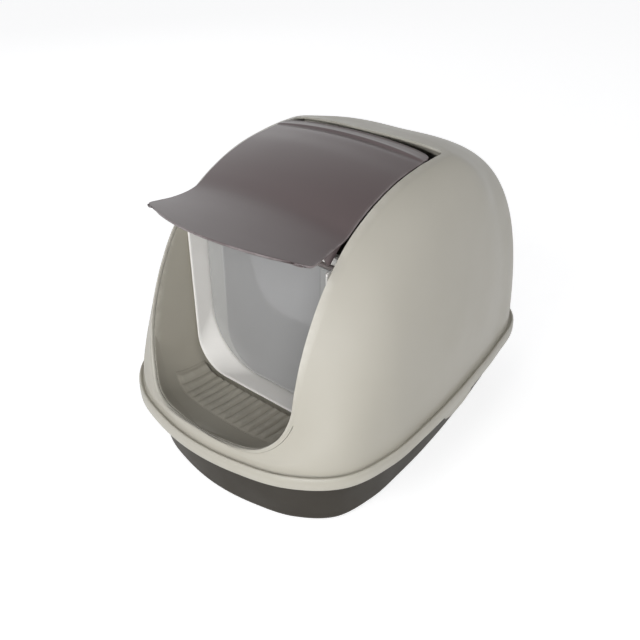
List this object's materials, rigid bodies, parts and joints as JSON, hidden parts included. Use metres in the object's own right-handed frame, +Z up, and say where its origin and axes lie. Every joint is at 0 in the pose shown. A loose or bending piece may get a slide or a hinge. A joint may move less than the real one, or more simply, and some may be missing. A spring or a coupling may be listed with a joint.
{
  "type": "hooded litter box",
  "caption": "Hooded cat litter box: dark tray, domed beige hood with ribbed porch, swing door, flip-up visor and side latches.",
  "frame": {"origin": "under the middle of the flange outline, on the floor plane that the tray rests on", "axes": "+Z up, front (porch and door) towards -Y, +X to the right of someone facing the front"},
  "size_m": [0.3954, 0.566, 0.395],
  "materials": {
    "tray_plastic": "dark brown, satin",
    "hood_plastic": "warm beige grey, satin",
    "porch_plastic": "beige grey, matt",
    "visor_plastic": "mauve brown, semi-gloss",
    "dark_plastic": "dark brown, matt",
    "white_plastic": "off-white, satin",
    "clear_plastic": "smoky, see-through",
    "pin_plastic": "grey brown",
    "pin_steel": "plain wire"
  },
  "bodies": {
    "base": {"tray": "tray_plastic"},
    "hood": {"hood_shell": "hood_plastic", "grip_well": "dark_plastic", "grip_bar": "hood_plastic", "porch_liner": "porch_plastic", "step_tread": "porch_plastic", "door_frame": "white_plastic", "latch_brackets": "hood_plastic", "latch_pins": "pin_steel"},
    "visor": {"visor": "visor_plastic", "visor_hinge": "visor_plastic", "visor_pins": "pin_plastic"},
    "door": {"door_flap": "clear_plastic", "door_pin_rod": "pin_plastic"},
    "latch_left": {"latch_left": "hood_plastic"},
    "latch_right": {"latch_right": "hood_plastic"}
  },
  "joints": [
    {"name": "hood_lift", "type": "slide", "parent": "base", "child": "hood", "axis": [0, 0, 1], "range_m": [0, 0.3]},
    {"name": "visor_hinge", "type": "hinge", "parent": "hood", "child": "visor", "pos_m": [0, 0.01, 0.376], "axis": [-1, 0, 0], "range_deg": [0, 95]},
    {"name": "door_swing", "type": "hinge", "parent": "hood", "child": "door", "pos_m": [0, -0.1394, 0.3], "axis": [1, 0, 0], "range_deg": [-75, 75]},
    {"name": "latch_left_hinge", "type": "hinge", "parent": "hood", "child": "latch_left", "pos_m": [-0.184, 0.0145, 0.0774], "axis": [0.0963, 0.9953, 0], "range_deg": [0, 70]},
    {"name": "latch_right_hinge", "type": "hinge", "parent": "hood", "child": "latch_right", "pos_m": [0.184, 0.0145, 0.0774], "axis": [0.0963, -0.9953, 0], "range_deg": [0, 70]}
  ]
}
